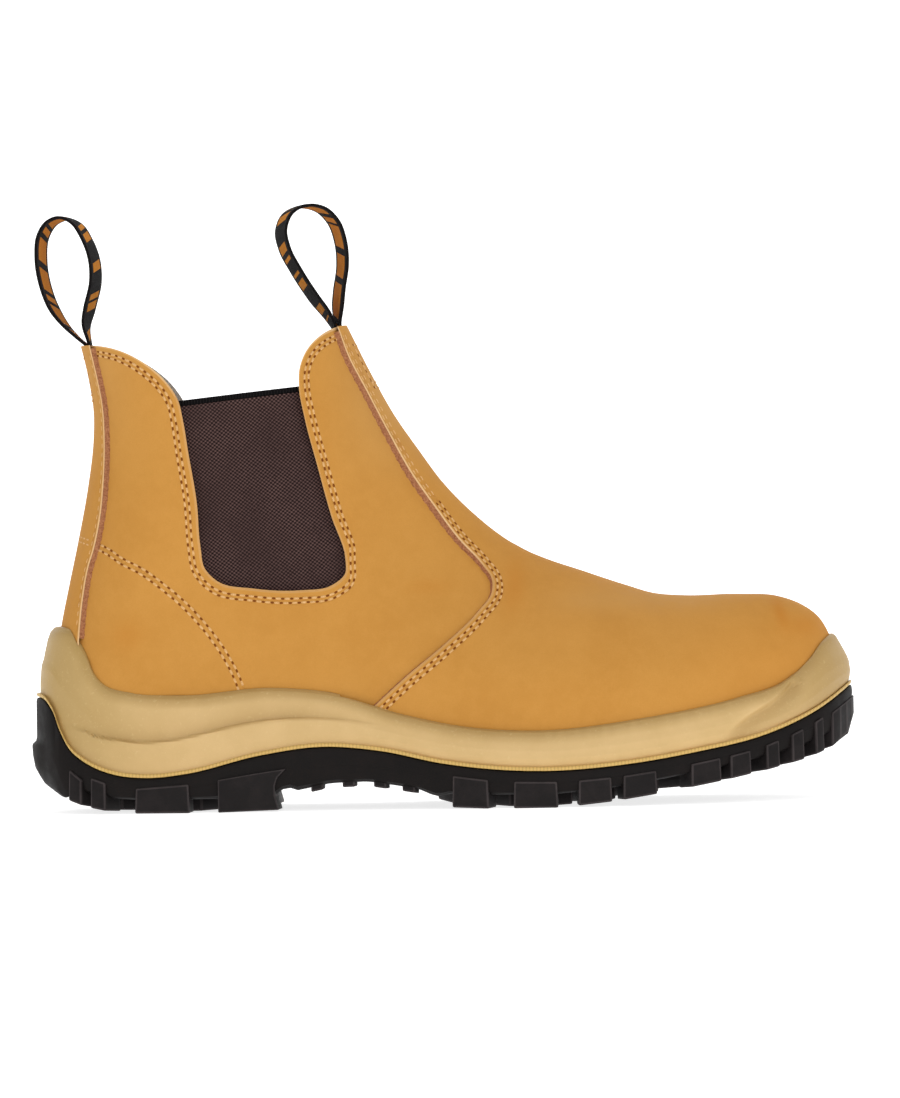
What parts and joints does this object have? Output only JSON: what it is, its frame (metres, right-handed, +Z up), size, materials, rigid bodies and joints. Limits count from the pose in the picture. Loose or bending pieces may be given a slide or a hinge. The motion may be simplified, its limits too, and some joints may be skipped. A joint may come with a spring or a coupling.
{
  "type": "pull-on work boot",
  "caption": "Ankle-high pull-on leather work boot for the right foot, with elastic side gores, webbing pull loops, a cup midsole and a lugged outsole.",
  "frame": {"origin": "centre of the bounding box's base, on the floor the boot stands on", "axes": "+X towards the toe, +Y towards the inner side of the foot, +Z up"},
  "size_m": [0.3099, 0.1108, 0.2264],
  "materials": {
    "leather": "wheat nubuck, matt with a fine nap",
    "foam": "tan polyurethane foam with a satin moulded skin",
    "rubber": "near-black rubber, matt to satin",
    "elastic": "dark brown woven elastic, matt",
    "webbing": "black woven tape, matt",
    "board": "grey-brown insole board, matt"
  },
  "bodies": {
    "root": {"outsole": "rubber", "midsole": "foam", "insole": "board", "upper": "leather", "vamp": "leather", "back_strip": "leather", "gore_lateral": "elastic", "gore_medial": "elastic", "gore_binding_lateral": "webbing", "gore_binding_medial": "webbing", "pull_loop_back": "webbing", "pull_loop_front": "webbing"}
  },
  "joints": []
}
